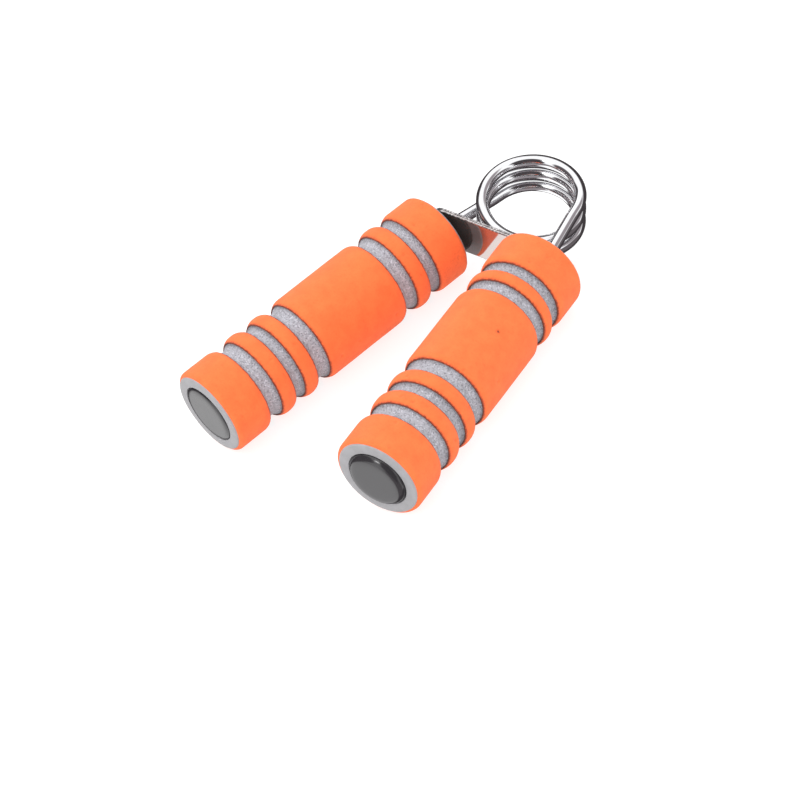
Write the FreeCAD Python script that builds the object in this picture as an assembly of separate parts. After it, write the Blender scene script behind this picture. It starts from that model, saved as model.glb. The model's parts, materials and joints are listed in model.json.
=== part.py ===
"""Hand grip strengthener: two foam covered handles on the arms of a coiled torsion spring.

Millimetres, +Z up.  The grip lies on a table: both handles rest on Z = 0 and their axes lie in one level
plane, HANDLE_HEIGHT above it.  +Y runs from the handles' bottom ends to the spring coil.  The grip looks the
same after half a turn about the level line X = 0, Z = HANDLE_HEIGHT, so each left hand piece is the right
hand one turned over.  Only the two orange bands nearest the spring, the grey foam under them and the bottom
plug differ a little from side to side.  The coil's own axis, about which the handles swing, leans
towards +X.
"""

import FreeCAD, Part
import math
import os

# Handle
FOAM_RADIUS = 15.0          # over the orange bands
FOAM_LENGTH = 99.5
SKIN_INNER_RADIUS = 13.8    # orange bands sit on the grey foam at this radius
BAND_EDGE_RADIUS = 14.05    # outside of an orange band at its two edges
GROOVE_RADIUS = 12.5        # grey foam at the bottom of a groove
FOAM_END_ROUND = 0.5        # corner of the grey foam at both ends of the sleeve
HANDLE_HEIGHT = FOAM_RADIUS
HANDLE_SPREAD = 37.0        # bottom end centre, from the middle plane
HANDLE_LEAN = 8.4           # degrees between a handle and the middle plane

# Orange bands, as start and end along the handle from its bottom end.  The foam is ground by hand, so the
# two handles differ a little near the top.
BAND_ROUND = 2.6            # length of the rounding beside a groove
BAND_END_ROUND = 1.5        # length of the rounding at the two ends of the handle
LOWER_BANDS = {
    "bottom_band": (FOAM_END_ROUND, 13.8),
    "lower_rib": (18.7, 24.7),
    "middle_rib": (28.5, 34.2),
    "grip_band": (39.2, 72.3),
}
BANDS = {
    "right": {
        **LOWER_BANDS,
        "upper_rib": (76.5, 81.3),
        "top_band": (85.1, FOAM_LENGTH - FOAM_END_ROUND),
    },
    "left": {
        **LOWER_BANDS,
        "upper_rib": (77.1, 83.1),
        "top_band": (86.9, FOAM_LENGTH - FOAM_END_ROUND),
    },
}

# Tube and plugs inside the foam
TUBE_RADIUS = 9.9
TUBE_BORE_RADIUS = 7.9
TUBE_END_INSET = 1.0        # the tube stops this far inside each end of the foam
PLUG_STEM_LENGTH = 12.0
PLUG_LIP_RADIUS = TUBE_RADIUS
BOTTOM_PLUG_PROUD = {       # middle of the bottom plug, beyond the end of the foam
    "right": 1.8,
    "left": 0.6,            # pushed in further than the right one
}
BOTTOM_FACE_RADIUS = 8.1    # nearly flat face of the bottom plug, inside its rounded rim
BOTTOM_FACE_CROWN = 0.4     # how far the middle of that face stands above its edge
TOP_LIP_PROUD = 0.5
BUSH_LENGTH = 14.0
BUSH_START = 38.0
SOCKET_CLEARANCE = 0.06     # wire in its plug and bush

# Torsion spring
WIRE_RADIUS = 2.0
COIL_RADIUS = 15.8          # to the middle of the wire
COIL_PITCH = 6.2
COIL_FULL_TURNS = 2
COIL_CENTRE_Y = 120.2       # from the line through the handles' bottom ends
COIL_TILT = 20.0            # degrees, coil axis from vertical, towards +X
ARM_EXIT_ANGLE = 12.0       # degrees round the coil from +X, where the right arm leaves it
ARM_LEAD = 3.0              # straight wire between the coil and the bend beside it
ARM_BEND_RADIUS = 14.0
ARM_BEND_STATION = 101.6    # bend beyond the top end of the handle
ARM_INNER_END = 42.0        # the wire reaches down to this station inside the handle

# Limiter plate
PLATE_HALF_LENGTH = 26.0
PLATE_HEIGHT = 15.4
PLATE_TILT = 4.0            # degrees, its right end down
PLATE_THICKNESS = 1.6
PLATE_FRONT_Y = 100.3
PLATE_CORNER = 6.5
SLOT_RADIUS = 2.4
SQUEEZE_ANGLE = 12.0        # swing of one handle from the plate, fully squeezed

# Distance from the handles' bottom ends to the middle of the whole length
ORIGIN_Y = 67.69

PARALLEL = 1e-6             # most that the cross product of two parallel unit vectors measures

UP = FreeCAD.Vector(0, 0, 1)
ACROSS = FreeCAD.Vector(1, 0, 0)
ALONG = FreeCAD.Vector(0, 1, 0)
COIL_CENTRE = FreeCAD.Vector(0, COIL_CENTRE_Y - ORIGIN_Y, HANDLE_HEIGHT)
TILT = FreeCAD.Rotation(ALONG, COIL_TILT)
HINGE_AXIS = TILT.multVec(UP)
HANDLE_START = FreeCAD.Vector(HANDLE_SPREAD, -ORIGIN_Y, HANDLE_HEIGHT)
HANDLE_AXIS = FreeCAD.Vector(-math.sin(math.radians(HANDLE_LEAN)), math.cos(math.radians(HANDLE_LEAN)), 0)


def on_axis(station):
    """Point on the right handle's axis, by its distance from the bottom end."""
    return HANDLE_START + HANDLE_AXIS * station


def turned_over(shape):
    """The matching piece of the left side: half a turn about the grip's level middle line."""
    copy = shape.copy()
    copy.rotate(FreeCAD.Vector(0, 0, HANDLE_HEIGHT), ALONG, 180)
    return copy


def placed_on_handle(shape):
    """Moves a piece made about the Z axis, bottom end at Z = 0, to the right handle."""
    copy = shape.copy()
    copy.Placement = FreeCAD.Placement(HANDLE_START, FreeCAD.Rotation(UP, HANDLE_AXIS))
    return copy


def revolved(edges):
    """Solid of revolution about Z from profile edges drawn in the XZ plane."""
    face = Part.Face(Part.Wire(edges))
    return face.revolve(FreeCAD.Vector(0, 0, 0), UP, 360)


def profile(*points):
    """Closed profile of straight lines and arcs.

    Each point is (radius, height).  A point given with a third value, "arc", is passed through by an arc
    from the point before it to the point after it.
    """
    at = [FreeCAD.Vector(p[0], 0, p[1]) for p in points]
    is_arc = [len(p) > 2 for p in points]
    edges = []
    index = 0
    while index < len(at):
        following = (index + 1) % len(at)
        if is_arc[following]:
            end = (index + 2) % len(at)
            edges.append(Part.Arc(at[index], at[following], at[end]).toShape())
            index += 2
        else:
            edges.append(Part.LineSegment(at[index], at[following]).toShape())
            index += 1
    return edges


def falling_arc(run, drop):
    """How far along and how far down the middle of an arc is.

    The arc starts level, and ends after the given run and drop.  The run may be negative.
    """
    arc_radius = (run ** 2 + drop ** 2) / (2 * drop)
    half_turn = math.asin(run / arc_radius) / 2
    return arc_radius * math.sin(half_turn), arc_radius * (1 - math.cos(half_turn))


def shoulder(edge_height, flat_height):
    """Middle of the arc that rounds a band off, from its flat top to its edge."""
    along, down = falling_arc(edge_height - flat_height, FOAM_RADIUS - BAND_EDGE_RADIUS)
    return (FOAM_RADIUS - down, flat_height + along, "arc")


def foam_band(start, end):
    """Orange band: a thin skin on the grey foam, rounded off at both edges."""
    flat_start = start + (BAND_END_ROUND if start < BAND_ROUND else BAND_ROUND)
    flat_end = end - (BAND_END_ROUND if end > FOAM_LENGTH - BAND_ROUND else BAND_ROUND)
    return revolved(profile(
        (SKIN_INNER_RADIUS, start),
        (BAND_EDGE_RADIUS, start),
        shoulder(start, flat_start),
        (FOAM_RADIUS, flat_start),
        (FOAM_RADIUS, flat_end),
        shoulder(end, flat_end),
        (BAND_EDGE_RADIUS, end),
        (SKIN_INNER_RADIUS, end),
    ))


def foam_sleeve(bands):
    """Grey foam tube with a rounded groove between each two orange bands."""
    corner = FOAM_END_ROUND * (1 - math.sqrt(0.5))
    flat = SKIN_INNER_RADIUS - FOAM_END_ROUND
    outside = [
        (flat, 0),
        (SKIN_INNER_RADIUS - corner, corner, "arc"),
        (SKIN_INNER_RADIUS, FOAM_END_ROUND),
    ]
    spans = list(bands.values())
    for (_, groove_start), (groove_end, _) in zip(spans, spans[1:]):
        outside.append((SKIN_INNER_RADIUS, groove_start))
        outside.append((GROOVE_RADIUS, (groove_start + groove_end) / 2, "arc"))
        outside.append((SKIN_INNER_RADIUS, groove_end))
    outside += [
        (SKIN_INNER_RADIUS, FOAM_LENGTH - FOAM_END_ROUND),
        (SKIN_INNER_RADIUS - corner, FOAM_LENGTH - corner, "arc"),
        (flat, FOAM_LENGTH),
    ]
    return revolved(profile((TUBE_RADIUS, 0), *outside, (TUBE_RADIUS, FOAM_LENGTH)))


def core_tube():
    """Hard plastic tube that the foam is pushed onto."""
    length = FOAM_LENGTH - 2 * TUBE_END_INSET
    outer = Part.makeCylinder(TUBE_RADIUS, length, FreeCAD.Vector(0, 0, TUBE_END_INSET))
    bore = Part.makeCylinder(TUBE_BORE_RADIUS, length, FreeCAD.Vector(0, 0, TUBE_END_INSET))
    return outer.cut(bore)


def bottom_end_plug(proud):
    """Plug with a stem in the tube and a crowned head, rounded at its rim, that covers the tube's end."""
    face_edge = BOTTOM_FACE_CROWN - proud
    face_along, face_down = falling_arc(BOTTOM_FACE_RADIUS, BOTTOM_FACE_CROWN)
    rim_along, rim_down = falling_arc(PLUG_LIP_RADIUS - BOTTOM_FACE_RADIUS, -face_edge)
    return revolved(profile(
        (0, -proud),
        (face_along, face_down - proud, "arc"),
        (BOTTOM_FACE_RADIUS, face_edge),
        (BOTTOM_FACE_RADIUS + rim_along, face_edge + rim_down, "arc"),
        (PLUG_LIP_RADIUS, 0),
        (PLUG_LIP_RADIUS, TUBE_END_INSET),
        (TUBE_BORE_RADIUS, TUBE_END_INSET),
        (TUBE_BORE_RADIUS, PLUG_STEM_LENGTH),
        (0, PLUG_STEM_LENGTH),
    ))


def top_end_plug():
    """Plug in the tube's top end, bored for the spring's arm."""
    top = FOAM_LENGTH + TOP_LIP_PROUD
    seat = FOAM_LENGTH - TUBE_END_INSET
    hole = WIRE_RADIUS + SOCKET_CLEARANCE
    return revolved(profile(
        (hole, seat - PLUG_STEM_LENGTH),
        (TUBE_BORE_RADIUS, seat - PLUG_STEM_LENGTH),
        (TUBE_BORE_RADIUS, seat),
        (PLUG_LIP_RADIUS, seat),
        (PLUG_LIP_RADIUS, top - TOP_LIP_PROUD),
        (PLUG_LIP_RADIUS - TOP_LIP_PROUD, top),
        (hole, top),
    ))


def arm_bush():
    """Plastic bush deep in the tube that centres the end of the spring's arm."""
    hole = WIRE_RADIUS + SOCKET_CLEARANCE
    return revolved(profile(
        (hole, BUSH_START),
        (TUBE_BORE_RADIUS, BUSH_START),
        (TUBE_BORE_RADIUS, BUSH_START + BUSH_LENGTH),
        (hole, BUSH_START + BUSH_LENGTH),
    ))


def coil_turn():
    """Angle that the coil turns through, in radians: whole turns and the part between its two arms."""
    return math.radians(180 - 2 * ARM_EXIT_ANGLE) + 2 * math.pi * COIL_FULL_TURNS


def coil_end():
    """Middle of the wire where the right arm leaves the coil, and the direction that the arm leaves in."""
    angle = math.radians(ARM_EXIT_ANGLE)
    half_height = COIL_PITCH * coil_turn() / (4 * math.pi)
    point = FreeCAD.Vector(COIL_RADIUS * math.cos(angle), COIL_RADIUS * math.sin(angle), half_height)
    rise = COIL_PITCH / (2 * math.pi)
    leaving = FreeCAD.Vector(COIL_RADIUS * math.sin(angle), -COIL_RADIUS * math.cos(angle), rise)
    leaving.normalize()
    return TILT.multVec(point) + COIL_CENTRE, TILT.multVec(leaving)


def bend(before, corner, after):
    """Arc that rounds a corner of the wire, as its start, its edge and its end."""
    to_before = (before - corner).normalize()
    to_after = (after - corner).normalize()
    half_angle = to_before.getAngle(to_after) / 2
    reach = ARM_BEND_RADIUS / math.tan(half_angle)
    start = corner + to_before * reach
    end = corner + to_after * reach
    inward = (to_before + to_after).normalize()
    middle = corner + inward * (ARM_BEND_RADIUS / math.sin(half_angle) - ARM_BEND_RADIUS)
    return start, Part.Arc(start, middle, end).toShape(), end


def arm_points():
    """Corners of the right arm's line, from its end inside the handle to the coil."""
    coil_start, leaving = coil_end()
    return [on_axis(ARM_INNER_END), on_axis(ARM_BEND_STATION), coil_start + leaving * ARM_LEAD, coil_start]


def arm_edges():
    """Line of the right arm, straight runs joined by tangent arcs, from the handle to the coil."""
    points = arm_points()
    edges = []
    run_start = points[0]
    for before, corner, after in zip(points, points[1:], points[2:]):
        start, arc, end = bend(before, corner, after)
        edges.append(Part.LineSegment(run_start, start).toShape())
        edges.append(arc)
        run_start = end
    edges.append(Part.LineSegment(run_start, points[-1]).toShape())
    return edges


def torsion_spring():
    """Round wire coil of two and a half turns with an arm to each handle."""
    height = COIL_PITCH * coil_turn() / (2 * math.pi)
    coil = Part.makeHelix(COIL_PITCH, height, COIL_RADIUS, 0, True)
    coil.translate(FreeCAD.Vector(0, 0, -height / 2))
    coil.rotate(FreeCAD.Vector(0, 0, 0), UP, 180 - ARM_EXIT_ANGLE)
    coil.rotate(FreeCAD.Vector(0, 0, 0), ALONG, COIL_TILT)
    coil.translate(COIL_CENTRE)
    right = arm_edges()
    left = [turned_over(edge) for edge in right]
    path = Part.Wire(Part.__sortEdges__(right + coil.Edges + left))
    start = on_axis(ARM_INNER_END)
    section = Part.Wire(Part.makeCircle(WIRE_RADIUS, start, HANDLE_AXIS))
    return path.makePipeShell([section], True, True)


def plate_crossing(squeeze):
    """Where the right arm passes the middle of the plate, with the handle swung in by an angle."""
    swing = FreeCAD.Rotation(HINGE_AXIS, -squeeze)
    first, last = (COIL_CENTRE + swing.multVec(p - COIL_CENTRE) for p in arm_points()[1:3])
    plate_y = PLATE_FRONT_Y - ORIGIN_Y + PLATE_THICKNESS / 2
    return first + (last - first) * ((plate_y - first.y) / (last.y - first.y))


def slot(outer, inner):
    """Round ended slot through the plate, between two wire positions."""
    run = inner - outer
    run.y = 0
    side = FreeCAD.Vector(run.z, 0, -run.x).normalize() * SLOT_RADIUS
    tip = FreeCAD.Vector(run).normalize() * SLOT_RADIUS
    edges = [
        Part.LineSegment(outer + side, inner + side).toShape(),
        Part.Arc(inner + side, inner + tip, inner - side).toShape(),
        Part.LineSegment(inner - side, outer - side).toShape(),
        Part.Arc(outer - side, outer - tip, outer + side).toShape(),
    ]
    opening = Part.Face(Part.Wire(edges)).extrude(ALONG * (2 * PLATE_THICKNESS))
    opening.translate(ALONG * -PLATE_THICKNESS)
    return opening


def runs_along(edge):
    """True for a straight edge parallel to Y."""
    return edge.tangentAt(edge.FirstParameter).cross(ALONG).Length < PARALLEL


def limiter_plate():
    """Flat steel bar across both arms; its slots stop the handles opening further."""
    low = HANDLE_HEIGHT - PLATE_HEIGHT / 2
    front = PLATE_FRONT_Y - ORIGIN_Y
    corner = FreeCAD.Vector(-PLATE_HALF_LENGTH, front, low)
    bar = Part.makeBox(2 * PLATE_HALF_LENGTH, PLATE_THICKNESS, PLATE_HEIGHT, corner)
    bar = bar.makeFillet(PLATE_CORNER, [e for e in bar.Edges if runs_along(e)])
    bar.rotate(FreeCAD.Vector(0, 0, HANDLE_HEIGHT), ALONG, PLATE_TILT)
    outer = plate_crossing(0)
    inner = plate_crossing(SQUEEZE_ANGLE)
    outer.y = front + PLATE_THICKNESS / 2
    inner.y = outer.y
    right = slot(outer, inner)
    return bar.cut(right).cut(turned_over(right))


def handle_pieces(bands, plug_proud):
    """Pieces of one handle, made about the Z axis, by name."""
    pieces = {
        "core_tube": core_tube(),
        "bottom_end_plug": bottom_end_plug(plug_proud),
        "top_end_plug": top_end_plug(),
        "arm_bush": arm_bush(),
        "foam_sleeve": foam_sleeve(bands),
    }
    for name, (start, end) in bands.items():
        pieces[name] = foam_band(start, end)
    return pieces


def build():
    """Every piece of the grip, by name."""
    pieces = {"torsion_spring": torsion_spring(), "limiter_plate": limiter_plate()}
    for side, bands in BANDS.items():
        for name, shape in handle_pieces(bands, BOTTOM_PLUG_PROUD[side]).items():
            placed = placed_on_handle(shape)
            pieces[f"{side}_{name}"] = placed if side == "right" else turned_over(placed)
    return pieces


os.makedirs("parts", exist_ok=True)
whole = FreeCAD.BoundBox()
for node, shape in build().items():
    shape.exportStep(f"parts/{node}.step")
    whole.add(shape.optimalBoundingBox(False))
    print(f"{node:24s} valid {shape.isValid()} solids {len(shape.Solids)} volume {shape.Volume:9.1f}")
print("box", [round(v, 2) for v in (whole.XMin, whole.YMin, whole.ZMin, whole.XMax, whole.YMax, whole.ZMax)])
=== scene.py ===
"""Looks of the hand grip strengthener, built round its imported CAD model.

Metres, +Z up, in the CAD model's frame.  Each handle is worked on in its own coordinates: a station along
its axis from the bottom end, and a radius and an angle about that axis.
"""

import json
import math

import bmesh
import bpy
import numpy as np
from mathutils import Matrix, Vector, geometry, noise


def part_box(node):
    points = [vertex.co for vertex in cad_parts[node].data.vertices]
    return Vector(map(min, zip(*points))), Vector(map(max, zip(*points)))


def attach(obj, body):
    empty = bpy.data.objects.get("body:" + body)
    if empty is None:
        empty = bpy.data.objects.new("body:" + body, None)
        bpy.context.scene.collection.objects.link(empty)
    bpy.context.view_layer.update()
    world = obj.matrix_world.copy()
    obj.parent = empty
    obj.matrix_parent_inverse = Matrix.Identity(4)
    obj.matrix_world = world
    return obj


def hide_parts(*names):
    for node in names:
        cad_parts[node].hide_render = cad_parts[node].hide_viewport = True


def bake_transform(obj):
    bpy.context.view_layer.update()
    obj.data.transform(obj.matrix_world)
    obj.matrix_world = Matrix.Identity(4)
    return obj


MM = 0.001
SIDES = ("right", "left")
MARK = "surface_mark"       # mesh attribute that the foam and plate materials read
SHARP = math.radians(40)    # faces that meet at more than this show an edge
CORNER_STEPS = 5            # points round a small rounded corner
NEAR = 0.01 * MM            # points of the CAD mesh closer than this lie on one face
DOUBLE = 1e-7               # vertices closer than this are one
REPEAT = 1e-8               # and so are outline points
BANDS = ("bottom_band", "lower_rib", "middle_rib", "grip_band", "upper_rib", "top_band")

# Camera
CAMERA_TARGET = Vector((0.0197, -0.0371, 0.015))
CAMERA_AZIMUTH = math.radians(54.74)
CAMERA_ELEVATION = math.radians(38.35)
CAMERA_ROLL = math.radians(-21.3)
CAMERA_DISTANCE = 1.1311
CAMERA_LENS = 165.14        # millimetres, on Blender's 36 mm wide sensor
CAMERA_CLIP = (0.01, 20)

# Studio
ROOM_LIGHT = 1.15           # strength of the white room
LAMP_SIZE = 0.9
KEY_PLACE = (-0.55, -0.10, 0.85)
KEY_POWER = 5.0             # watts
FILL_PLACE = (0.6, -0.5, 0.6)
FILL_POWER = 3.0
FLOOR_CORNERS = ((-4, -4, 0), (4, -4, 0), (4, 4, 0), (-4, 4, 0))
FLOOR_TONES = ((0.3, 0.31), (0.7, 0.32))
FLOOR_GLOW = 0.78           # light of the floor's own, which keeps shadows soft

# What glossy surfaces mirror of the white room besides the floor, each part over the ones before:
# direction, reach and softness in degrees, brightness
BEHIND = ((-0.640, 0.453, -0.620), 84, 9, 0.05)
BELOW = ((0.419, -0.726, -0.545), 30, 12, 0.28)
RIGHT = ((0.877, 0.381, -0.292), 27, 10, 0.12)
LEFT = ((-0.620, -0.643, 0.450), 27, 10, 0.10)
LOW_FRONT = ((0.66, -0.72, 0.15), 29, 8, 0.05)
VIEWER = ((0.640, -0.453, 0.620), 22, 8, 0.06)
BACK_RIGHT = ((0.53, 0.62, 0.55), 18, 10, 0.30)
BACK_TOP = ((-0.55, 0.45, 0.70), 9, 6, 1.1)
LAMP = ((0.10, -0.62, 0.78), 6, 4, 6.0)
PALE_FLOOR = ((-0.57, -0.53, -0.62), 24, 8, 1.1)
ROOM = (BEHIND, BELOW, RIGHT, LEFT, LOW_FRONT, VIEWER, BACK_RIGHT, BACK_TOP, LAMP, PALE_FLOOR)
ROOM_TINT = (1.0, 0.85, 0.91)   # of its darker parts

# Foam shapes
GRIP_STATION = 55.75 * MM   # where the record's mount stands on each handle's axis
RING_STEP = 0.2 * MM        # spacing of vertices in the grey foam
SKIN_STEP = 0.4 * MM        # and in the orange skin
HIDDEN_STEP = 2 * MM        # and where the bands and the foam cover each other
BORE_STEP = 4 * MM          # and in the foam's bore
GRAIN_SIZE = 0.45 * MM      # open cells of the grey foam
GRAIN_DEPTH = 0.12 * MM
GRAIN_LEVEL = 0.75          # share of a cell's height that lies below the CAD surface
GRAIN_WAVE = 0.05 * MM      # gentler unevenness under the cells
GRAIN_WAVE_SIZE = 1.5 * MM
END_GRAIN = 0.3             # share of the grooves' grain that the smoother end faces have
CREASE_WIDTH = 1.9 * MM     # crease in the grey foam beside a band, and the painted shade in it
CREASE_DEPTH = 0.15 * MM
JUST_INSIDE = 1e-6          # keeps a band's own edge out of what the band covers
SKIN_WAVE = 0.05 * MM       # slow unevenness of the orange skin
SKIN_WAVE_SIZE = 7 * MM
SKIN_GRAIN = 0.015 * MM     # and quick unevenness
SKIN_GRAIN_SIZE = 0.8 * MM
EDGE_REACH = 0.5 * MM       # the skin's edges are ragged over this length
EDGE_RAGGED = 0.12 * MM
EDGE_RAGGED_SIZE = 1.1 * MM
EDGE_SET_BACK = 0.3         # share of the raggedness by which the edges lie lower on average
EDGE_FADE = 0.9 * MM        # how far from a groove the skin is darkened by painted shade
PIT_SEED = 7
PIT_COUNT = 5               # on each band
PIT_MARGIN = 1 * MM         # between a pit and the band's edge
PIT_RADIUS = 0.55 * MM
PIT_DEPTH = 0.3 * MM
PIT_SHADE = 0.3             # how dark the painted shade at its bottom is, on the scale of the edges' painted shade
DARK_PIT_SHADE = 1.2
DARK_PITS = {"right_grip_band": ((2.41, 59.5 * MM),)}   # pits with deeper painted shade at their bottom: angle round the handle, and station
GAP_WIDTH = 0.35 * MM       # crevice between the foam and each plug
GAP_DEPTH = 0.9 * MM
GAP_OUTLINE = ((0, 1), (0.6, 0.7), (0.85, 0.25))    # shares of its width and depth, from the plug outwards
GAP_COVERED = 0.9           # share of its width that has no grain
BORE_WALL = 0.5 * MM        # the foam's outside lies more than this outside its bore

# Foam colours
ORANGE_TONES = ((0.3, (0.90, 0.150, 0.040)), (0.7, (0.95, 0.180, 0.050)))
# painted shade in the skin's pores, darkest at their middles where the bump is lowest
PORE_SHADE_TONE = (0.72, 0.085, 0.022, 1)
# painted shade on the orange skin beside the grooves and in the pits: thin, then deep
EDGE_SHADE_THIN_TONE = (0.45, 0.05, 0.02, 1)
EDGE_SHADE_TONE = (0.11, 0.03, 0.02, 1)
CELL_TONES = ((0.0, (0.22, 0.21, 0.23)), (0.3, (0.34, 0.335, 0.37)),
              (0.85, (0.41, 0.40, 0.44)), (1.0, (0.56, 0.55, 0.61)))
CELL_SHUFFLE = 3.7          # turns a cell's random colour into a random tone
CELL_BUMP = 0.08 * MM
CUT_TONES = ((0.3, (0.30, 0.295, 0.305)), (0.7, (0.34, 0.335, 0.35)))   # of the end faces
# painted shade in the crease beside each band
CREASE_SHADE_TONE = (0.07, 0.065, 0.075, 1)
CREASE_SHADE_FADE = (0.0, 0.68, 1.35, 1.95)   # share of that painted shade at two values of the mark, and those values

# Plugs
PLUG_SEGMENTS = 128
PLUG_DOME_STEPS = 60
PLUG_DOME_POWER = 13        # of the radius, in the height of the bottom plug's dome
PLUG_SEAT = 1.0 * MM        # how deep in the foam the bottom plug's head meets the tube
PLUG_ROUND = 0.5 * MM
PLUG_ROUND_STEPS = 8
PLUG_TONE = (0.026, 0.024, 0.027, 1)

# Limiter plate
PLATE_STEP = 0.25 * MM      # spacing of vertices along its edges
PLATE_ROLL = 0.22 * MM      # rounding of its edge on the side where the punch went in
PLATE_ROLL_MARK = 0.8       # how torn that rounding looks
PLATE_ROUGH = 0.07 * MM     # roughness of the torn part of its edge
PLATE_ROUGH_SIZE = 0.5 * MM
PLATE_ROUGH_STRETCH = 0.3   # the tears run across the edge
PLATE_ROUGH_SEED = Vector((0.3, 0.1, 0.7))
PLATE_EDGE = (              # share of the thickness, distance in from the edge, how torn; above 1 it also paints shadow under the burr
    (0.35, 0.0, 0.0), (0.48, 0.01 * MM, 0.2), (0.55, 0.06 * MM, 1.0), (0.62, 0.05 * MM, 1.0),
    (0.72, 0.03 * MM, 0.6), (0.82, 0.03 * MM, 0.5), (0.90, 0.03 * MM, 0.4), (0.95, 0.06 * MM, 1.6),
    (1.0, 0.14 * MM, 1.6),
)
PLATE_TONE = (0.62, 0.54, 0.52, 1)
TORN_TONE = (0.90, 0.89, 0.90, 1)
# dark specks on the torn band, and painted shadow under the burr along the back edge
SPECK_AND_SHADOW_TONE = (0.10, 0.09, 0.10, 1)
SPECK_AND_SHADOW_SPREAD = (0.1, 1.0, 0.43, 0.53)    # least and most darkening, at two levels of the specks' noise

# Spring
WIRE_RADIUS = 2.0 * MM
COIL_RADIUS = 15.8 * MM
COIL_PITCH = 6.2 * MM
COIL_FULL_TURNS = 2
COIL_TILT = math.radians(20)
ARM_EXIT_ANGLE = math.radians(12)
ARM_LEAD = 3.0 * MM
ARM_BEND_RADIUS = 14.0 * MM
ARM_BEND_STATION = 101.6 * MM
ARM_INNER_END = 42.0 * MM
WIRE_STEP = 0.5 * MM        # spacing of points along the wire
WIRE_SHORTEST = WIRE_STEP / 20      # shorter pieces of its line are left out
WIRE_SEGMENTS = 32
WIRE_TONE = (0.86, 0.86, 0.88, 1)

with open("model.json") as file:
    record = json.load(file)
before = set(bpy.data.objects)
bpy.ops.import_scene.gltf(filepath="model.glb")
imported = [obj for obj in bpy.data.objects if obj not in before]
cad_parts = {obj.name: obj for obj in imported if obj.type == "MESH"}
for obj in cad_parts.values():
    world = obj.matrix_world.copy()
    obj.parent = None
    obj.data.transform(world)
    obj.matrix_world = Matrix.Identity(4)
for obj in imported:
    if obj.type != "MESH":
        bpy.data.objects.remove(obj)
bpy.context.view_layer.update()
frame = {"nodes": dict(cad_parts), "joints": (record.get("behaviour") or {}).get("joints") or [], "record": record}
record = frame["record"]
mounts = {mount["name"]: mount for mount in record["mounts"]}
hinge = next(joint for joint in frame["joints"] if joint["name"] == "squeeze")
COIL_CENTRE = Vector(hinge["pos_m"])


class Handle:
    """One handle's axis, from the record, and the way between its coordinates and the frame's."""

    def __init__(self, side):
        self.side = side
        self.body = side + "_handle"
        mount = mounts[side + "_grip"]
        along = -Vector(mount["axis"]).normalized()
        start = Vector(mount["pos_m"]) - along * GRIP_STATION
        up = Vector((0, 0, 1 if side == "right" else -1))
        self.matrix = Matrix((up.cross(along), up, along)).transposed().to_4x4()
        self.matrix.translation = start
        self.seed = Vector((SIDES.index(side) * 0.31, 0.17, 0.05))

    def on_axis(self, station):
        """Point of the axis, in the frame."""
        return self.matrix @ Vector((0, 0, station))

    def node(self, name):
        """Full name of one of this handle's CAD nodes."""
        return f"{self.side}_{name}"

    def outline(self, name):
        """(radius, station) of each vertex of a CAD node, as two arrays."""
        inverse = self.matrix.inverted()
        mesh = frame["nodes"][self.node(name)].data
        local = np.array([inverse @ v.co for v in mesh.vertices])
        return np.hypot(local[:, 0], local[:, 1]), local[:, 2]


class Span:
    """The size of a CAD ring: its two ends, its radii and how far each end is rounded off."""

    def __init__(self, handle, name):
        radius, station = handle.outline(name)
        self.start, self.end = station.min(), station.max()
        self.inner, self.outer = radius.min(), radius.max()
        self.edge = radius[station < self.start + NEAR].max()
        flat = station[radius > self.outer - NEAR / 2]
        self.start_round = flat.min() - self.start
        self.end_round = self.end - flat.max()


def steps(start, end, spacing):
    """Evenly spaced values from start to end, both included."""
    return np.linspace(start, end, max(2, int(math.ceil(abs(end - start) / spacing)) + 1))


def join(*runs):
    """One (radius, station) outline from several, leaving out the points that repeat."""
    points = np.vstack(runs)
    keep = np.ones(len(points), bool)
    keep[1:] = np.abs(np.diff(points, axis=0)).sum(axis=1) > REPEAT
    return points[keep]


def column(radius, stations):
    """Outline run at one radius."""
    return np.column_stack((np.full(len(stations), radius), stations))


def turned(radius, station, segments):
    """Points that a column of outline points passes as it turns about the axis, one row for each."""
    angle = np.linspace(0, 2 * math.pi, segments, endpoint=False)
    return np.stack((radius * np.cos(angle), radius * np.sin(angle), station + 0 * angle), axis=-1)


def lathe(name, handle, outline, segments, relief=None, closed=True, marks=None):
    """Mesh object turned about a handle's axis, with an optional relief along the surface's normals.

    marks gives one number for each outline point, or for each point round it as well, which the material
    reads as the attribute MARK.
    """
    count = len(outline)
    tangent = np.roll(outline, -1, axis=0) - np.roll(outline, 1, axis=0)
    if not closed:
        tangent[0], tangent[-1] = outline[1] - outline[0], outline[-1] - outline[-2]
    tangent /= np.linalg.norm(tangent, axis=1)[:, None]
    normal = np.column_stack((tangent[:, 1], -tangent[:, 0]))
    radius, station = outline[:, :1], outline[:, 1:]
    if relief is not None:
        lift = relief(turned(radius, station, segments), outline)
        radius = radius + normal[:, :1] * lift
        station = station + normal[:, 1:] * lift
    points = turned(radius, station, segments).reshape(-1, 3)
    rows = count if closed else count - 1
    i, j = np.meshgrid(np.arange(rows), np.arange(segments), indexing="ij")
    following, beside = (i + 1) % count, (j + 1) % segments
    quads = np.stack((i * segments + j, i * segments + beside, following * segments + beside,
                      following * segments + j), axis=-1).reshape(-1, 4)
    if marks is not None:
        marks = np.broadcast_to(marks.reshape(count, -1), (count, segments)).reshape(-1)
    made = mesh_object(name, points, quads.tolist(), marks)
    made.data.transform(handle.matrix)
    return made


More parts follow.
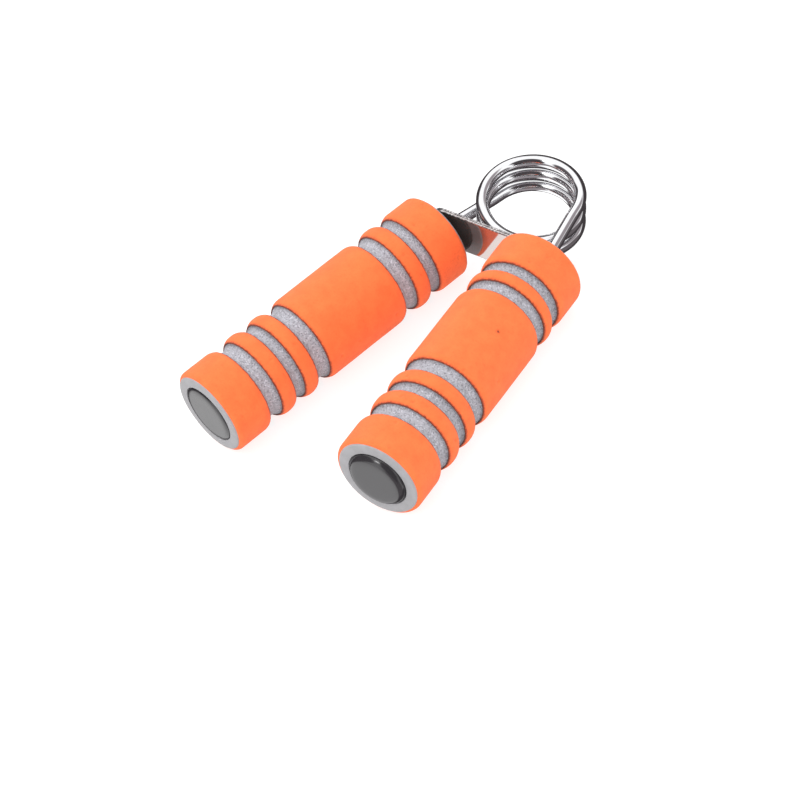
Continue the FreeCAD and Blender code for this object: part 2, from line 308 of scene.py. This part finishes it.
def mesh_object(name, points, faces, marks=None):
    """Linked, smooth shaded mesh object, with doubled vertices merged and normals outward."""
    mesh = bpy.data.meshes.new(name)
    mesh.from_pydata([tuple(p) for p in points], [], faces)
    if marks is not None:
        mesh.attributes.new(MARK, "FLOAT", "POINT").data.foreach_set("value", marks.astype(np.float32))
    work = bmesh.new()
    work.from_mesh(mesh)
    bmesh.ops.remove_doubles(work, verts=work.verts, dist=DOUBLE)
    bmesh.ops.recalc_face_normals(work, faces=work.faces)
    work.to_mesh(mesh)
    work.free()
    mesh.shade_smooth()
    mesh.set_sharp_from_angle(angle=SHARP)
    made = bpy.data.objects.new(name, mesh)
    bpy.context.scene.collection.objects.link(made)
    return made


def noise_at(spots, size, seed):
    """Smooth noise between about -1 and 1 at each point of an array of points."""
    flat = spots.reshape(-1, 3) / size
    shift = seed * 100
    values = [noise.noise(Vector(p) + shift) for p in flat]
    return np.array(values).reshape(spots.shape[:-1])


def grains_at(spots, size, seed):
    """Foam cells: 0 in the middle of each cell, rising to about 1 at its walls."""
    flat = spots.reshape(-1, 3) / size
    shift = seed * 100
    nearest = [noise.voronoi(Vector(p) + shift)[0] for p in flat]
    return np.array([d[0] / max(d[1], 1e-6) for d in nearest]).reshape(spots.shape[:-1])


# --- Materials ---


class Shader:
    """A Principled material and short calls to wire its nodes."""

    def __init__(self, name, **fixed):
        self.material = bpy.data.materials.new(name)
        self.material.use_nodes = True
        self.tree = self.material.node_tree
        self.base = self.tree.nodes["Principled BSDF"]
        for socket, value in fixed.items():
            self.base.inputs[socket.replace("_", " ")].default_value = value

    def node(self, kind, inputs=(), **settings):
        """A new node, with its settings and what goes into its sockets."""
        made = self.tree.nodes.new(kind)
        for name, value in settings.items():
            setattr(made, name, value)
        for socket, value in dict(inputs).items():
            self.put(value, made.inputs[socket])
        return made

    def put(self, value, socket):
        """Links a node's output to a socket, or sets the socket's own value."""
        if isinstance(value, bpy.types.NodeSocket):
            self.tree.links.new(value, socket)
        else:
            socket.default_value = value

    def place(self, stretch=(1, 1, 1)):
        """Coordinates fixed to the piece, in millimetres, stretched if asked."""
        spot = self.node("ShaderNodeTexCoord").outputs["Object"]
        scale = tuple(s / MM for s in stretch)
        return self.node("ShaderNodeMapping", {"Vector": spot, "Scale": scale}).outputs["Vector"]

    def noise(self, place, per_mm, detail=3.0, rough=0.55):
        """Smooth noise from 0 to 1."""
        made = self.node("ShaderNodeTexNoise", {"Vector": place, "Scale": per_mm, "Detail": detail,
                                                "Roughness": rough})
        return made.outputs["Fac"]

    def cells(self, place, per_mm):
        """Distance from the middle of the nearest cell, and the cell's random colour, as named outputs."""
        return self.node("ShaderNodeTexVoronoi", {"Vector": place, "Scale": per_mm}).outputs

    def ramp(self, value, *stops):
        """Colour ramp through (position, colour) stops; a plain number is a grey."""
        made = self.node("ShaderNodeValToRGB", {"Fac": value})
        ramp = made.color_ramp
        while len(ramp.elements) < len(stops):
            ramp.elements.new(1.0)
        for element, (position, colour) in zip(ramp.elements, stops):
            element.position = position
            rgb = (colour,) * 3 if isinstance(colour, (int, float)) else colour
            element.color = (*rgb, 1)
        return made.outputs["Color"]

    def mark(self):
        """The number that each vertex was given in the attribute MARK."""
        return self.node("ShaderNodeAttribute", attribute_name=MARK).outputs["Fac"]

    def spread(self, value, low, high, from_low=0.0, from_high=1.0):
        """Maps a value's range to another one."""
        made = self.node("ShaderNodeMapRange", {"Value": value, "From Min": from_low, "From Max": from_high,
                                                "To Min": low, "To Max": high})
        return made.outputs["Result"]

    def mix(self, share, one, other):
        """One colour with a share of another."""
        made = self.node("ShaderNodeMix", data_type="RGBA")
        for index, value in ((0, share), (6, one), (7, other)):
            self.put(value, made.inputs[index])
        return made.outputs[2]

    def math(self, operation, one, other=0.0):
        """Arithmetic on one or two numbers."""
        made = self.node("ShaderNodeMath", operation=operation)
        self.put(one, made.inputs[0])
        self.put(other, made.inputs[1])
        return made.outputs[0]

    def bump(self, height, depth, below=None):
        """Bump of a real depth in metres, on top of another one if given."""
        inputs = {"Height": height, "Distance": depth, "Strength": 1.0}
        if below is not None:
            inputs["Normal"] = below
        return self.node("ShaderNodeBump", inputs).outputs["Normal"]

    def finish(self, **linked):
        """Links what varies over the surface to the shader's sockets."""
        for socket, value in linked.items():
            self.put(value, self.base.inputs[socket.replace("_", " ")])
        return self.material


def orange_foam():
    """Fine closed cell foam with a matt, slightly mottled skin, with painted shade in its pores, at its edges
    beside the grooves and in its pits.
    """
    shader = Shader("orange_foam", Specular_IOR_Level=0.2, Sheen_Weight=0.05, Sheen_Roughness=0.6)
    place = shader.place()
    mottle = shader.noise(place, per_mm=0.25, detail=4.0)
    colour = shader.ramp(mottle, *ORANGE_TONES)
    pores = shader.cells(place, per_mm=3.2)["Distance"]
    # painted shade in the pores
    colour = shader.mix(shader.spread(pores, 0.3, 0.0, 0.05, 0.3), colour, PORE_SHADE_TONE)
    uneven = shader.spread(shader.noise(place, per_mm=1.3), -0.25, 0.25, 0.25, 0.75)
    # painted shade: the mark darkens the skin beside the grooves and at the bottoms of the pits
    painted_shade = shader.math("ADD", shader.mark(), uneven)
    colour = shader.mix(shader.spread(painted_shade, 0.0, 0.35, 0.0, 0.5), colour, EDGE_SHADE_THIN_TONE)
    colour = shader.mix(shader.spread(painted_shade, 0.0, 0.9, 0.45, 0.95), colour, EDGE_SHADE_TONE)
    height = shader.math("ADD", shader.spread(pores, 0.0, 1.0, 0.0, 0.4), shader.noise(place, per_mm=5.0))
    return shader.finish(Base_Color=colour, Roughness=shader.spread(mottle, 0.6, 0.8),
                         Normal=shader.bump(height, 0.02 * MM))


def grey_foam():
    """Ground foam: open cells that catch the light one by one, smoother where it was cut off square, with painted
    shade in the crease beside each band.
    """
    shader = Shader("grey_foam", Specular_IOR_Level=0.45, Sheen_Weight=0.1, Sheen_Roughness=0.5)
    place = shader.place()
    cell = shader.cells(place, per_mm=2.5)
    chance = shader.math("FRACT", shader.math("MULTIPLY", cell["Color"], CELL_SHUFFLE))
    tint = shader.ramp(chance, *CELL_TONES)
    even = shader.ramp(shader.noise(place, per_mm=0.4), *CUT_TONES)
    ground = shader.mark()
    colour = shader.mix(shader.spread(ground, 0.0, 1.0, 0.3, 1.0), even, tint)
    # painted shade in the crease beside each band, where the mark is above 1
    crease = shader.math("ADD", ground, shader.spread(cell["Distance"], 0.3, -0.3, 0.0, 0.6))
    colour = shader.mix(shader.spread(crease, *CREASE_SHADE_FADE), colour, CREASE_SHADE_TONE)
    height = shader.math("ADD", shader.spread(cell["Distance"], 1.0, 0.0, 0.0, 0.6),
                         shader.noise(place, per_mm=4.0))
    height = shader.math("MULTIPLY", height, shader.spread(ground, 0.25, 1.0, 0.3, 1.0))
    return shader.finish(Base_Color=colour, Roughness=shader.spread(cell["Distance"], 0.45, 0.8),
                         Normal=shader.bump(height, CELL_BUMP))


def wire_chrome():
    """Chrome plated wire, very slightly wavy and a little uneven in gloss."""
    shader = Shader("wire_chrome", Metallic=1.0, Base_Color=WIRE_TONE)
    place = shader.place()
    haze = shader.noise(place, per_mm=0.35, detail=4.0)
    wave = shader.noise(place, per_mm=0.12, detail=2.0)
    return shader.finish(Roughness=shader.spread(haze, 0.03, 0.11),
                         Normal=shader.bump(wave, 0.02 * MM, shader.bump(haze, 0.002 * MM)))


def plate_chrome():
    """Mirror polished plate with faint polishing lines along its length and a bright torn edge with dark specks,
    and painted shadow under the burr along its back edge.
    """
    shader = Shader("plate_chrome", Metallic=0.92)
    lines = shader.noise(shader.place((0.04, 1, 3.0)), per_mm=1.2)
    wave = shader.noise(shader.place(), per_mm=0.03, detail=2.0)
    torn = shader.mark()
    specks = shader.noise(shader.place((1, 0.3, 1)), per_mm=1.3, detail=4.0, rough=0.7)
    # dark specks on the torn band; where the mark is above 1, painted shadow under the burr
    speck_and_shadow = shader.math("MULTIPLY", torn, shader.spread(specks, *SPECK_AND_SHADOW_SPREAD))
    colour = shader.mix(torn, PLATE_TONE, TORN_TONE)
    colour = shader.mix(speck_and_shadow, colour, SPECK_AND_SHADOW_TONE)
    rough = shader.math("ADD", shader.spread(lines, 0.03, 0.09), shader.math("MULTIPLY", torn, 0.3))
    bump = shader.bump(wave, 0.02 * MM, shader.bump(lines, 0.001 * MM))
    return shader.finish(Base_Color=colour, Roughness=rough, Normal=bump)


def gloss_plastic():
    """Glossy dark grey moulded plastic with faint scuffs."""
    shader = Shader("gloss_plastic", Base_Color=PLUG_TONE, IOR=1.7)
    place = shader.place()
    scuffs = shader.noise(shader.place((0.15, 1.4, 1.4)), per_mm=1.6, detail=5.0, rough=0.7)
    haze = shader.noise(place, per_mm=0.18)
    rough = shader.math("ADD", shader.spread(haze, 0.10, 0.22), shader.spread(scuffs, 0.0, 0.12, 0.6, 0.8))
    return shader.finish(Roughness=rough, Normal=shader.bump(haze, 0.03 * MM))


def satin_plastic(name, level, grain_per_mm):
    """Satin moulded plastic of a grey level, with a fine grain."""
    shader = Shader(name, Specular_IOR_Level=0.45)
    place = shader.place()
    spots = shader.noise(place, grain_per_mm, detail=4.0)
    colour = shader.ramp(shader.noise(place, per_mm=0.3), (0.3, level * 0.8), (0.7, level * 1.25))
    return shader.finish(Base_Color=colour, Roughness=shader.spread(spots, 0.38, 0.55),
                         Normal=shader.bump(spots, 0.012 * MM))


def floor_white():
    """Pale floor, lifted by a little light of its own."""
    shader = Shader("floor_white", Specular_IOR_Level=0.1, Roughness=0.9, Emission_Color=(1, 1, 1, 1),
                    Emission_Strength=FLOOR_GLOW)
    return shader.finish(Base_Color=shader.ramp(shader.noise(shader.place(), per_mm=0.02), *FLOOR_TONES))


MATERIALS = {
    "orange_foam": orange_foam(),
    "grey_foam": grey_foam(),
    "spring_chrome": wire_chrome(),
    "plate_chrome": plate_chrome(),
    "plug_gloss": gloss_plastic(),
    "plug_black": satin_plastic("black_plastic", level=0.022, grain_per_mm=2.5),
    "tube_plastic": satin_plastic("tube_plastic", level=0.05, grain_per_mm=1.2),
}


def give(piece, slot, *nodes):
    """Finishes a piece: its material and slot, and the CAD nodes that it stands for."""
    piece.data.materials.clear()
    piece.data.materials.append(MATERIALS[slot])
    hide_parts(*nodes)
    return piece


# --- Foam ---


def band_outline(span):
    """Outline of an orange band: its crowned outside, rounded edges and hidden inside."""
    drop = span.outer - span.edge
    stations = steps(span.start, span.end, SKIN_STEP)
    near_edges = np.concatenate((steps(span.start, span.start + span.start_round, SKIN_STEP / 2),
                                 steps(span.end - span.end_round, span.end, SKIN_STEP / 2)))
    stations = np.unique(np.concatenate((stations, near_edges)).round(8))
    radius = np.full(len(stations), span.outer)
    for reach, inside in ((span.start_round, span.start + span.start_round - stations),
                          (span.end_round, stations - span.end + span.end_round)):
        arc = (reach ** 2 + drop ** 2) / (2 * drop)
        inside = np.clip(inside, 0, None)
        radius -= arc - np.sqrt(arc ** 2 - inside ** 2)
    outside = np.column_stack((radius, stations))
    inside = column(span.inner, steps(span.end, span.start, HIDDEN_STEP))
    return join(outside, inside)


def pit_share(spots, span, pits):
    """How deep each spot lies in a pit: 0 outside and 1 at its bottom."""
    share = np.zeros(spots.shape[:-1])
    for angle, station in pits:
        centre = np.array((span.outer * math.cos(angle), span.outer * math.sin(angle), station))
        away = np.linalg.norm(spots - centre, axis=-1) / PIT_RADIUS
        share = np.maximum(share, np.exp(-away ** 2))
    return share


def skin_relief(handle, span, pits):
    """Relief of an orange band: gentle unevenness, ragged edges and a few pits."""

    def relief(spots, outline):
        outside = (outline[:, 0] > span.inner + NEAR)[:, None]
        lift = SKIN_WAVE * noise_at(spots, SKIN_WAVE_SIZE, handle.seed)
        lift += SKIN_GRAIN * noise_at(spots, SKIN_GRAIN_SIZE, handle.seed)
        edge = np.minimum(spots[..., 2] - span.start, span.end - spots[..., 2])
        near_edge = np.clip(1 - edge / EDGE_REACH, 0, 1)
        lift += EDGE_RAGGED * near_edge * (noise_at(spots, EDGE_RAGGED_SIZE, handle.seed) - EDGE_SET_BACK)
        return (lift - PIT_DEPTH * pit_share(spots, span, pits)) * outside

    return relief


def orange_band(handle, name, rng):
    """Orange band with an uneven skin, pits, and painted shade darkening the edges that face a groove and the
    bottoms of the pits.
    """
    span = Span(handle, name)
    segments = int(2 * math.pi * span.outer / SKIN_STEP)
    node = handle.node(name)
    outline = band_outline(span)
    # painted shade along the edges that face a groove
    edge_shade = np.zeros(len(outline))
    for distance, at_end in ((outline[:, 1] - span.start, name == BANDS[0]),
                             (span.end - outline[:, 1], name == BANDS[-1])):
        edge_shade = np.maximum(edge_shade, 0 if at_end else 1 - distance / EDGE_FADE)
    dark_pits = DARK_PITS.get(node, ())
    pits = [(rng.uniform(0, 2 * math.pi), rng.uniform(span.start + PIT_MARGIN, span.end - PIT_MARGIN))
            for _ in range(PIT_COUNT)]
    spots = turned(outline[:, :1], outline[:, 1:], segments)
    # painted shade at the bottom of each pit, deeper in the dark pits
    marks = np.maximum(np.maximum(edge_shade[:, None], PIT_SHADE * pit_share(spots, span, pits)),
                       DARK_PIT_SHADE * pit_share(spots, span, dark_pits))
    made = lathe(node + "_skin", handle, outline, segments, skin_relief(handle, span, [*pits, *dark_pits]),
                 marks=marks)
    return give(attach(made, handle.body), "orange_foam", node)


def sleeve_outline(handle, spans, sleeve):
    """Outline of the grey foam: both end faces, the grooves between the bands and the hidden bore."""
    bore = sleeve.inner
    corner = spans[0].start - sleeve.start
    skin = spans[0].inner
    quarter = np.linspace(0, math.pi / 2, CORNER_STEPS)
    face = steps(bore + GAP_WIDTH, skin - corner, RING_STEP)
    crevice = [(bore + GAP_WIDTH * across, GAP_DEPTH * down) for across, down in GAP_OUTLINE]
    rounding = (skin - corner, corner) + np.column_stack((np.sin(quarter), -np.cos(quarter))) * corner
    bottom = join(crevice, np.column_stack((face, np.zeros(len(face)))), rounding)
    runs = [bottom + (0, sleeve.start)]
    for before, after in zip(spans, spans[1:]):
        middle = (before.end + after.start) / 2
        half = middle - before.end
        depth = skin - groove_radius(handle, before.end, after.start)
        arc = (half ** 2 + depth ** 2) / (2 * depth)
        stations = steps(before.end, after.start, RING_STEP)
        dip = np.sqrt(arc ** 2 - (stations - middle) ** 2) - (arc - depth)
        runs.append(column(skin, steps(runs[-1][-1, 1], before.end, HIDDEN_STEP)))
        runs.append(np.column_stack((skin - dip, stations)))
    top = bottom[::-1] * (1, -1) + (0, sleeve.end)
    runs.append(column(skin, steps(runs[-1][-1, 1], top[0, 1], HIDDEN_STEP)))
    runs.append(top)
    runs.append(column(bore, steps(top[-1, 1], sleeve.start + GAP_DEPTH, BORE_STEP)))
    return join(*runs)[:-1]


def groove_radius(handle, start, end):
    """Smallest outside radius of the CAD sleeve within a groove."""
    radius, station = handle.outline("foam_sleeve")
    bore = radius.min()
    inside = (station > start) & (station < end) & (radius > bore + BORE_WALL)
    return radius[inside].min()


def grain_share(outline, spans, sleeve):
    """How grainy each outline point of the grey foam is, from 0 where a band or a plug covers it.

    Above 1 it lies in the crease beside a band, and at 2 against the band; there the material paints shade.
    """
    radius, station = outline[:, 0], outline[:, 1]
    share = np.ones(len(outline))
    for span in spans:
        for edge in (span.start, span.end):
            share = np.maximum(share, 2 - np.abs(station - edge) / CREASE_WIDTH)
    for span in spans:
        share[(station > span.start + JUST_INSIDE) & (station < span.end - JUST_INSIDE)] = 0
    end_depth = spans[0].start - sleeve.start + JUST_INSIDE
    at_end = np.minimum(station - sleeve.start, sleeve.end - station) < end_depth
    share[at_end] = END_GRAIN
    share[radius < sleeve.inner + GAP_WIDTH * GAP_COVERED] = 0
    return share


def grain_relief(handle, share):
    """Open cells on the grey foam wherever it shows, and a crease beside each band."""

    def relief(spots, outline):
        shows = share > 0
        lift = np.zeros(spots.shape[:-1])
        cells = GRAIN_DEPTH * (grains_at(spots[shows], GRAIN_SIZE, handle.seed) - GRAIN_LEVEL)
        cells += GRAIN_WAVE * noise_at(spots[shows], GRAIN_WAVE_SIZE, handle.seed)
        lift[shows] = cells * np.minimum(share[shows], 1)[:, None]
        return lift - CREASE_DEPTH * np.clip(share - 1, 0, 1)[:, None]

    return relief


def grey_sleeve(handle):
    """The whole grey foam sleeve of a handle."""
    spans = [Span(handle, name) for name in BANDS]
    sleeve = Span(handle, "foam_sleeve")
    outline = sleeve_outline(handle, spans, sleeve)
    segments = int(2 * math.pi * spans[0].inner / RING_STEP)
    share = grain_share(outline, spans, sleeve)
    relief = grain_relief(handle, share)
    made = lathe(handle.node("grey_foam"), handle, outline, segments, relief, marks=share)
    return give(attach(made, handle.body), "grey_foam", handle.node("foam_sleeve"))


# --- Plugs ---


def bottom_plug(handle):
    """Glossy plug: a low dome that falls off towards its rim, and the stem in the tube."""
    radius, station = handle.outline("bottom_end_plug")
    low, top = station.min(), station.max()
    lip = radius.max()
    stem = radius[station > top - NEAR].max()
    share = np.linspace(0, 1, PLUG_DOME_STEPS)
    dome = np.column_stack((lip * share, low * (1 - share ** PLUG_DOME_POWER)))
    back = ((lip, PLUG_SEAT), (stem, PLUG_SEAT), (stem, top - PLUG_ROUND), (stem - PLUG_ROUND, top),
            (0, top))
    made = lathe(handle.node("bottom_plug"), handle, join(dome, back), PLUG_SEGMENTS, closed=False)
    return give(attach(made, handle.body), "plug_gloss", handle.node("bottom_end_plug"))


def top_plug(handle):
    """Black plug with the wire's hole, rounded at its rim and at the hole's mouth."""
    radius, station = handle.outline("top_end_plug")
    lip, hole = radius.max(), radius.min()
    low, top = station.min(), station.max()
    stem = radius[station < low + NEAR].max()
    seat = station[radius > lip - NEAR].min()
    turn = np.linspace(0, math.pi / 2, PLUG_ROUND_STEPS)
    level = top - PLUG_ROUND
    corner = np.column_stack((np.cos(turn), np.sin(turn))) * PLUG_ROUND + (lip - PLUG_ROUND, level)
    mouth = np.column_stack((-np.sin(turn), np.cos(turn))) * PLUG_ROUND + (hole + PLUG_ROUND, level)
    outline = join(((hole, low), (stem, low), (stem, seat), (lip, seat)), corner, mouth)
    made = lathe(handle.node("top_plug"), handle, outline, PLUG_SEGMENTS)
    return give(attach(made, handle.body), "plug_black", handle.node("top_end_plug"))


# --- Spring ---


def bend(before, corner, after, radius):
    """Points of the arc that rounds a corner of the wire."""
    to_before, to_after = (before - corner).normalized(), (after - corner).normalized()
    half = to_before.angle(to_after) / 2
    middle = corner + (to_before + to_after).normalized() * (radius / math.sin(half))
    first = corner + to_before * (radius / math.tan(half)) - middle
    last = corner + to_after * (radius / math.tan(half)) - middle
    turn = first.angle(last)
    normal = first.cross(last).normalized()
    count = max(4, int(turn * radius / WIRE_STEP))
    return [middle + Matrix.Rotation(turn * i / count, 3, normal) @ first for i in range(count + 1)]


def coil_points():
    """Middle of the wire round the coil, from the right arm at its top to the left arm at its bottom."""
    turn = math.pi - 2 * ARM_EXIT_ANGLE + 2 * math.pi * COIL_FULL_TURNS
    count = 2 * int(turn * COIL_RADIUS / WIRE_STEP / 2)
    tilt = Matrix.Rotation(COIL_TILT, 3, "Y")
    points = []
    for i in range(count + 1):
        share = i / count
        angle = ARM_EXIT_ANGLE + turn * share
        height = COIL_PITCH * turn / (2 * math.pi) * (0.5 - share)
        local = Vector((COIL_RADIUS * math.cos(angle), COIL_RADIUS * math.sin(angle), height))
        points.append(COIL_CENTRE + tilt @ local)
    return points


def arm_points(handle, coil_start, leaving):
    """Middle of the wire from the coil to its end inside a handle."""
    corners = [coil_start, coil_start + leaving * ARM_LEAD, handle.on_axis(ARM_BEND_STATION),
               handle.on_axis(ARM_INNER_END)]
    points = [coil_start]
    for before, corner, after in zip(corners, corners[1:], corners[2:]):
        points += bend(before, corner, after, ARM_BEND_RADIUS)
    return points + [corners[-1]]


def evened(points):
    """The same line with points WIRE_STEP apart at most."""
    line = [points[0]]
    for before, after in zip(points, points[1:]):
        length = (after - before).length
        if length < WIRE_SHORTEST:
            continue
        pieces = max(1, round(length / WIRE_STEP))
        line += [before.lerp(after, i / pieces) for i in range(1, pieces + 1)]
    return line


def tube(name, line):
    """Round wire along a line of points, closed at both ends."""
    tangents = [(b - a).normalized() for a, b in zip([line[0]] + line[:-1], line[1:] + [line[-1]])]
    side = tangents[0].orthogonal().normalized()
    points = []
    for centre, tangent in zip(line, tangents):
        side = (side - tangent * side.dot(tangent)).normalized()
        other = tangent.cross(side)
        for k in range(WIRE_SEGMENTS):
            angle = 2 * math.pi * k / WIRE_SEGMENTS
            points.append(centre + (side * math.cos(angle) + other * math.sin(angle)) * WIRE_RADIUS)
    faces = []
    for ring in range(len(line) - 1):
        for k in range(WIRE_SEGMENTS):
            a, b = ring * WIRE_SEGMENTS + k, ring * WIRE_SEGMENTS + (k + 1) % WIRE_SEGMENTS
            faces.append((a, b, b + WIRE_SEGMENTS, a + WIRE_SEGMENTS))
    faces.append(tuple(range(WIRE_SEGMENTS)))
    faces.append(tuple(range(len(points) - WIRE_SEGMENTS, len(points))))
    return mesh_object(name, points, faces)


def spring(handles):
    """The spring as two halves, each from the middle of the coil to one handle."""
    coil = coil_points()
    middle = len(coil) // 2
    halves = {"right": coil[:middle + 1][::-1], "left": coil[middle:]}
    for side, half in halves.items():
        leaving = (half[-1] - half[-2]).normalized()
        arm = arm_points(handles[side], half[-1], leaving)
        line = half + evened(arm)[1:]
        made = tube(f"spring_{side}_half", line)
        give(made, "spring_chrome", "torsion_spring")
        if side == "right":
            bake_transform(made)
        else:
            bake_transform(made)


# --- Limiter plate ---


def face_loops(mesh, y):
    """Closed loops of (x, z) points round a flat face of a CAD node that lies at one y, outside first."""
    flat = [f for f in mesh.polygons if all(abs(mesh.vertices[v].co.y - y) < NEAR for v in f.vertices)]
    key = {v: tuple(round(c / NEAR) for c in mesh.vertices[v].co) for f in flat for v in f.vertices}
    spot = {key[v]: mesh.vertices[v].co for v in key}
    edges = [(key[a], key[b]) for f in flat for a, b in zip(f.vertices, [*f.vertices[1:], f.vertices[0]])]
    known = set(edges)
    following = {a: b for a, b in edges if (b, a) not in known}
    loops = []
    while following:
        first, at = following.popitem()
        loop = [first]
        while at != first:
            loop.append(at)
            at = following.pop(at)
        loops.append(np.array([(spot[k].x, spot[k].z) for k in loop]))
    return sorted(loops, key=lambda points: -np.ptp(points[:, 0]))


def evenly(loop, step):
    """The same closed loop with evenly spaced points, anticlockwise."""
    closed = np.vstack((loop, loop[:1]))
    along = np.concatenate(([0], np.cumsum(np.linalg.norm(np.diff(closed, axis=0), axis=1))))
    at = np.linspace(0, along[-1], int(along[-1] / step), endpoint=False)
    points = np.column_stack((np.interp(at, along, closed[:, 0]), np.interp(at, along, closed[:, 1])))
    beside = np.roll(points, -1, axis=0)
    area = (points[:, 0] * beside[:, 1] - beside[:, 0] * points[:, 1]).sum()
    return points if area > 0 else points[::-1]


def edge_rows(front, back):
    """From one flat face of the plate over its edge to the other: y, distance in from the edge, how torn."""
    turn = np.linspace(math.pi / 2, 0, CORNER_STEPS)
    rolled = [(front + PLATE_ROLL * (1 - math.sin(t)), PLATE_ROLL * (1 - math.cos(t)), PLATE_ROLL_MARK)
              for t in turn]
    torn = [(front + (back - front) * share, inset, mark) for share, inset, mark in PLATE_EDGE]
    return [(front, PLATE_ROLL + PLATE_STEP, 0.0), *rolled, *torn, (back, torn[-1][1] + PLATE_STEP, 0.0)]


def limiter_plate():
    """Stamped plate: mirror faces, rounded corners and slots, and a partly torn band round each edge."""
    low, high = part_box("limiter_plate")
    loops = [evenly(loop, PLATE_STEP) for loop in face_loops(frame["nodes"]["limiter_plate"].data, low.y)]
    rows = edge_rows(low.y, high.y)
    points, marks, faces, caps = [], [], [], ([], [])
    for order, loop in enumerate(loops):
        tangent = np.roll(loop, -1, axis=0) - np.roll(loop, 1, axis=0)
        tangent /= np.linalg.norm(tangent, axis=1)[:, None]
        inward = np.column_stack((-tangent[:, 1], tangent[:, 0])) * (1 if order == 0 else -1)
        first, count = len(points), len(loop)
        for y, inset, torn in rows:
            spots = np.column_stack((loop[:, 0], np.full(count, y * PLATE_ROUGH_STRETCH), loop[:, 1]))
            rough = PLATE_ROUGH * torn * noise_at(spots, PLATE_ROUGH_SIZE, PLATE_ROUGH_SEED)
            moved = loop + inward * (inset + rough)[:, None]
            points += [(x, y, z) for x, z in moved]
            marks += [torn] * count
        for row in range(len(rows) - 1):
            start = first + row * count
            for k in range(count):
                beside = (k + 1) % count
                faces.append((start + k, start + beside, start + count + beside, start + count + k))
        caps[0].append(range(first, first + count))
        caps[1].append(range(first + (len(rows) - 1) * count, first + len(rows) * count))
    for cap in caps:
        ring = [k for loop in cap for k in loop]
        outlines = [[Vector((points[k][0], points[k][2], 0)) for k in loop] for loop in cap]
        faces += [tuple(ring[k] for k in corner) for corner in geometry.tessellate_polygon(outlines)]
    made = mesh_object("stamped_plate", points, faces, np.array(marks))
    return give(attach(made, "limiter"), "plate_chrome", "limiter_plate")


# --- Stage ---


def area_light(name, place, power):
    """Wide lamp turned to the grip, with no mirror image in glossy surfaces."""
    light = bpy.data.lights.new(name, "AREA")
    light.shape = "DISK"
    light.size = LAMP_SIZE
    light.energy = power
    made = bpy.data.objects.new(name, light)
    made.location = place
    made.rotation_euler = (COIL_CENTRE / 2 - Vector(place)).to_track_quat("-Z", "Y").to_euler()
    made.visible_glossy = False
    bpy.context.scene.collection.objects.link(made)


def world_light():
    """White room; glossy surfaces also mirror its darker parts."""
    world = bpy.data.worlds.new("studio")
    bpy.context.scene.world = world
    world.use_nodes = True
    tree = world.node_tree

    def node(kind, inputs, output=0, **settings):
        """Output of a new node of the world, with its settings and what goes into its sockets."""
        made = tree.nodes.new(kind)
        for name, value in settings.items():
            setattr(made, name, value)
        for index, value in inputs.items():
            if isinstance(value, bpy.types.NodeSocket):
                tree.links.new(value, made.inputs[index])
            else:
                made.inputs[index].default_value = value
        return made.outputs[output]

    way = node("ShaderNodeTexCoord", {}, "Generated")
    colour = (1, 1, 1, 1)
    for towards, reach, soft, level in ROOM:
        match = node("ShaderNodeVectorMath", {0: way, 1: Vector(towards).normalized()}, "Value",
                     operation="DOT_PRODUCT")
        limits = {1: math.cos(math.radians(reach + soft)), 2: math.cos(math.radians(reach))}
        share = node("ShaderNodeMapRange", {0: match, **limits}, interpolation_type="SMOOTHSTEP")
        part = [level * min(1, tint + (1 - tint) * level) for tint in ROOM_TINT] + [1]
        colour = node("ShaderNodeMix", {0: share, 6: colour, 7: part}, 2, data_type="RGBA")
    mirrored = node("ShaderNodeLightPath", {}, "Is Glossy Ray")
    colour = node("ShaderNodeMix", {0: mirrored, 6: (1, 1, 1, 1), 7: colour}, 2, data_type="RGBA")
    background = tree.nodes["Background"]
    tree.links.new(colour, background.inputs["Color"])
    background.inputs["Strength"].default_value = ROOM_LIGHT


def studio():
    """White room, two wide lamps and a pale floor."""
    world_light()
    area_light("key", KEY_PLACE, KEY_POWER)
    area_light("fill", FILL_PLACE, FILL_POWER)
    floor = mesh_object("floor", FLOOR_CORNERS, [(0, 1, 2, 3)])
    floor.data.materials.append(floor_white())
    floor.visible_glossy = False


def camera():
    """Camera turned about its own line of sight by CAMERA_ROLL."""
    made = bpy.data.objects.new("camera", bpy.data.cameras.new("camera"))
    bpy.context.scene.collection.objects.link(made)
    back = Vector((math.sin(CAMERA_AZIMUTH) * math.cos(CAMERA_ELEVATION),
                   -math.cos(CAMERA_AZIMUTH) * math.cos(CAMERA_ELEVATION),
                   math.sin(CAMERA_ELEVATION)))
    upright = (-back).to_track_quat("-Z", "Y").to_matrix()
    rolled = upright @ Matrix.Rotation(CAMERA_ROLL, 3, "Z")
    made.matrix_world = Matrix.Translation(CAMERA_TARGET + back * CAMERA_DISTANCE) @ rolled.to_4x4()
    made.data.lens = CAMERA_LENS
    made.data.clip_start, made.data.clip_end = CAMERA_CLIP
    bpy.context.scene.camera = made


def main():
    """Builds the scene and every piece."""
    bpy.context.scene.view_settings.view_transform = "Standard"
    camera()
    studio()
    rng = np.random.default_rng(PIT_SEED)
    handles = {side: Handle(side) for side in SIDES}
    for handle in handles.values():
        grey_sleeve(handle)
        for name in BANDS:
            orange_band(handle, name, rng)
        bottom_plug(handle)
        top_plug(handle)
        for name in ("core_tube", "arm_bush"):
            node = frame["nodes"][handle.node(name)]
            node.data.materials.clear()
            node.data.materials.append(MATERIALS["tube_plastic"])
    spring(handles)
    limiter_plate()


main()
